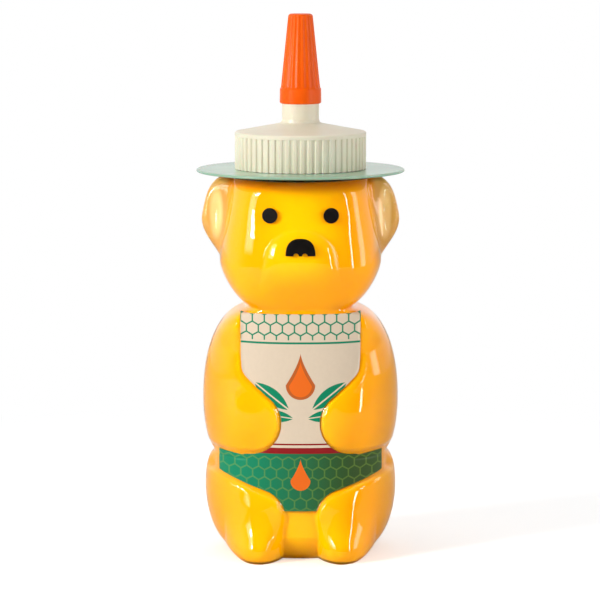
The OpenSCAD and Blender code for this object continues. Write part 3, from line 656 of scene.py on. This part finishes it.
clearWall = clearMaterial("clear_wall", (1.0, 0.99, 0.95), 0.03)
wetWall = wetMaterial()
honeyLook = honeyMaterial()
labelLook = labelMaterial()
blackPrint = glossyMaterial("black_print", (0.004, 0.003, 0.003), (0.008, 0.006, 0.005), 300.0,
                            {"Roughness": 0.45, "Specular IOR Level": 0.12})
greenPlastic = glossyMaterial("green_plastic", (0.31, 0.56, 0.39), (0.36, 0.62, 0.44), 40.0,
                              {"Roughness": 0.25, "Coat Weight": 0.3, "Transmission Weight": 0.2, "IOR": 1.45,
                               "Subsurface Weight": 0.3, "Subsurface Scale": 0.004})
creamPlastic = glossyMaterial("cream_plastic", (0.80, 0.73, 0.56), (0.84, 0.78, 0.61), 60.0,
                              {"Roughness": 0.38, "Subsurface Weight": 0.15, "Subsurface Scale": 0.002})
orangePlastic = glossyMaterial("orange_plastic", (1.0, 0.13, 0.0), (0.95, 0.11, 0.0), 60.0,
                               {"Roughness": 0.34, "Specular IOR Level": 0.16,
                                "Subsurface Weight": 0.3, "Subsurface Radius": (1.0, 0.3, 0.05),
                                "Subsurface Scale": 0.002})
foamLook = glossyMaterial("foam", (0.9, 0.9, 0.88), (0.8, 0.8, 0.78), 1500.0, {"Roughness": 0.85})

for piece, look in [(shell, clearWall), (shell, wetWall), (neckThread, clearWall), (honey, honeyLook),
                    (frontLabel, labelLook), (eyes[0], blackPrint), (eyes[1], blackPrint),
                    (nose, blackPrint), (tipCap, orangePlastic)]:
    piece.data.materials.append(look)
for node, look in [("brim", greenPlastic), ("cap_liner", foamLook), ("screw_cap", creamPlastic)]:
    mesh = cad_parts[node].data
    mesh.materials.clear()
    mesh.materials.append(look)
print("materials set")

for piece in (shell, neckThread, honey, frontLabel, *eyes, nose):
    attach(piece, "bottle_body")
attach(tipCap, "tip_cap_body")
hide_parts("bottle")
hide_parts("honey")
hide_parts("front_label")
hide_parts("left_eye")
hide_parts("right_eye")
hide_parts("nose")
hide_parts("tip_cap")

# Floor, backdrop and light
studio = {"floor": 3.0, "world": 0.32,
          "cards": [{"turn": (-1.34, -0.92), "up": (0.04, 0.62), "glow": 8.0},
                    {"turn": (1.40, 1.74), "up": (-0.16, 0.70), "glow": 6.0}]}


# Under the object the floor is pale and takes its shadow, and past it turns to the backdrop's white. Only the
# camera sees the white: the share is a smooth step of the distance from the origin.
def floorMaterial():
    material, shader, place = newMaterial("floor", {"Base Color": (0.9, 0.9, 0.9, 1), "Roughness": 0.9})
    tree = material.node_tree
    glow = place.node("ShaderNodeEmission", {}, {"Strength": 0.47})
    white = place.node("ShaderNodeEmission", {}, {"Strength": 1.0})
    camera = place.node("ShaderNodeLightPath", {}, {})
    far = place.node("ShaderNodeVectorMath", {"operation": "LENGTH"}, {0: place}, output=1).rise(0.07, 0.26)
    near = place.node("ShaderNodeAddShader", {}, {0: Wire(tree, shader.outputs[0]), 1: glow})
    seen = place.node("ShaderNodeMixShader", {}, {0: far, 1: near, 2: white})
    mix = place.node("ShaderNodeMixShader", {}, {0: camera, 1: Wire(tree, shader.outputs[0]), 2: seen})
    tree.links.new(mix.out, tree.nodes["Material Output"].inputs["Surface"])
    return material


def makeFloor():
    half = studio["floor"] / 2
    corners = np.array([[-half, -half, 0], [half, -half, 0], [half, half, 0], [-half, half, 0]])
    floor = finishMesh("floor", corners, [[0, 1, 2, 3]], False)
    floor.data.materials.append(floorMaterial())


# 1 between low and high, 0 outside, smooth over a short step at each end
def within(value, low, high, step=0.1):
    return value.rise(low, low + step) * value.rise(high, high - step)


# Lamps and a plain pale world light the object. The camera, and what it sees through clear walls, meets a
# white backdrop. A glossy surface mirrors that backdrop behind the object, a darker room in front of it and two
# pale cards, each between two angles round the object and two heights.
def makeWorld():
    world = bpy.data.worlds.new("studio")
    scene.world = world
    world.use_nodes = True
    tree = world.node_tree
    soft = Wire(tree, tree.nodes["Background"].outputs[0])
    tree.nodes["Background"].inputs["Color"].default_value = (1, 1, 1, 1)
    tree.nodes["Background"].inputs["Strength"].default_value = studio["world"]
    white = soft.node("ShaderNodeBackground", {}, {"Color": (1, 1, 1, 1), "Strength": 1.0})
    x, y, z = axesOf(soft.node("ShaderNodeTexCoord", {}, {}))
    turn, glow = x.maths("ARCTAN2", x, 0 - y), y.rise(-0.5, 0.2) * 0.9 + 0.1
    for card in studio["cards"]:
        glow = glow + within(turn, *card["turn"]) * within(z, *card["up"]) * card["glow"]
    mirrored = soft.node("ShaderNodeBackground", {}, {"Color": (1, 1, 1, 1), "Strength": glow})
    path = tree.nodes.new("ShaderNodeLightPath")
    toCamera, toGloss, toGlass = (Wire(tree, path.outputs[n]) for n in
                                  ("Is Camera Ray", "Is Glossy Ray", "Is Transmission Ray"))
    seen = soft.node("ShaderNodeMixShader", {}, {0: toGloss, 1: soft, 2: mirrored})
    seen = soft.node("ShaderNodeMixShader", {}, {0: toCamera.either(toGlass), 1: seen, 2: white})
    tree.links.new(seen.out, tree.nodes["World Output"].inputs["Surface"])


def makeLamp(name, place, aim, size, power):
    data = bpy.data.lights.new(name, "AREA")
    data.shape = "RECTANGLE"
    data.size, data.size_y = size
    data.energy = power
    lamp = bpy.data.objects.new(name, data)
    lamp.location = place
    lamp.rotation_euler = (Vector(aim) - Vector(place)).to_track_quat("-Z", "Y").to_euler()
    scene.collection.objects.link(lamp)


makeFloor()
makeWorld()
makeLamp("key", (-0.83, -0.52, 0.42), (0, 0, 0.08), (0.18, 0.27), 7.2)
makeLamp("side_strip", (0.62, -0.35, 0.22), (0, 0, 0.08), (0.045, 0.42), 1.5)
makeLamp("top", (-0.05, 0.1, 0.9), (0, 0, 0.08), (0.4, 0.4), 1.2)
print("stage is lit")
